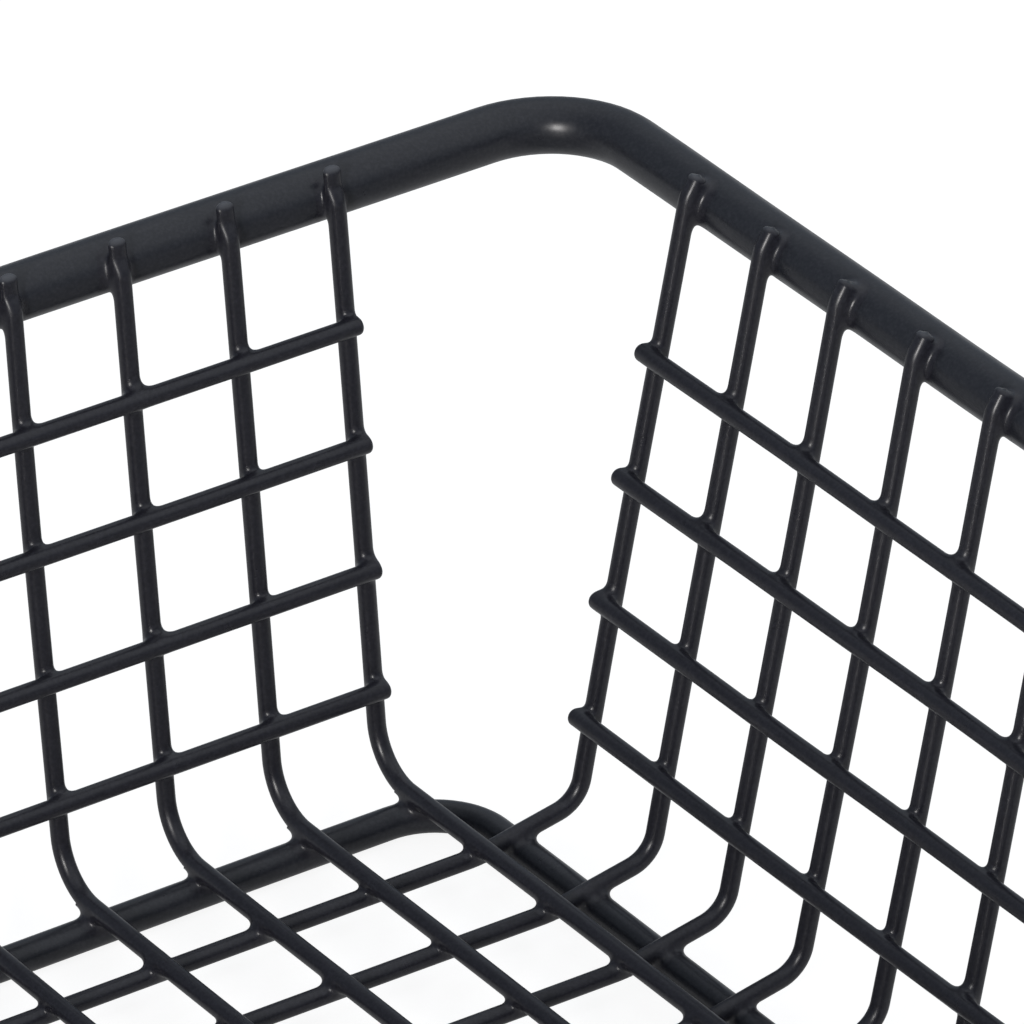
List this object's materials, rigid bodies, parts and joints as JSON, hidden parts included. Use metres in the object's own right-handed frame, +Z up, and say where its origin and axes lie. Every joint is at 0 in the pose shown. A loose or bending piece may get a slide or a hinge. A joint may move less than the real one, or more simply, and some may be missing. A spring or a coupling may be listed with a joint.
{
  "type": "wire basket",
  "caption": "Open rectangular welded wire basket with a heavy round rim, leaning walls, a mesh floor and a base ring, to divide a drawer or stand on a desk.",
  "frame": {"origin": "on the supporting surface, under the middle of the basket", "axes": "+Z up, +X along the long side, +Y across to the back wall"},
  "size_m": [0.3026, 0.195, 0.0739],
  "materials": {
    "rod_coat": "satin black powder coat with a cool cast, thick on the heavy rods",
    "wire_coat": "satin black powder coat with a cool cast, pooled in small webs at the welds"
  },
  "bodies": {
    "root": {"top_rim": "rod_coat", "base_ring": "rod_coat", "cross_wire_01": "wire_coat", "cross_wire_02": "wire_coat", "cross_wire_03": "wire_coat", "cross_wire_04": "wire_coat", "cross_wire_05": "wire_coat", "cross_wire_06": "wire_coat", "cross_wire_07": "wire_coat", "cross_wire_08": "wire_coat", "cross_wire_09": "wire_coat", "cross_wire_10": "wire_coat", "cross_wire_11": "wire_coat", "cross_wire_12": "wire_coat", "cross_wire_13": "wire_coat", "cross_wire_14": "wire_coat", "cross_wire_15": "wire_coat", "cross_wire_16": "wire_coat", "cross_wire_17": "wire_coat", "cross_wire_18": "wire_coat", "cross_wire_19": "wire_coat", "long_wire_01": "wire_coat", "long_wire_02": "wire_coat", "long_wire_03": "wire_coat", "long_wire_04": "wire_coat", "long_wire_05": "wire_coat", "long_wire_06": "wire_coat", "long_wire_07": "wire_coat", "long_wire_08": "wire_coat", "long_wire_09": "wire_coat", "long_wire_10": "wire_coat", "long_wire_11": "wire_coat", "back_rail_1": "wire_coat", "back_rail_2": "wire_coat", "back_rail_3": "wire_coat", "back_rail_4": "wire_coat", "front_rail_1": "wire_coat", "front_rail_2": "wire_coat", "front_rail_3": "wire_coat", "front_rail_4": "wire_coat", "right_rail_1": "wire_coat", "right_rail_2": "wire_coat", "right_rail_3": "wire_coat", "right_rail_4": "wire_coat", "left_rail_1": "wire_coat", "left_rail_2": "wire_coat", "left_rail_3": "wire_coat", "left_rail_4": "wire_coat"}
  },
  "joints": []
}
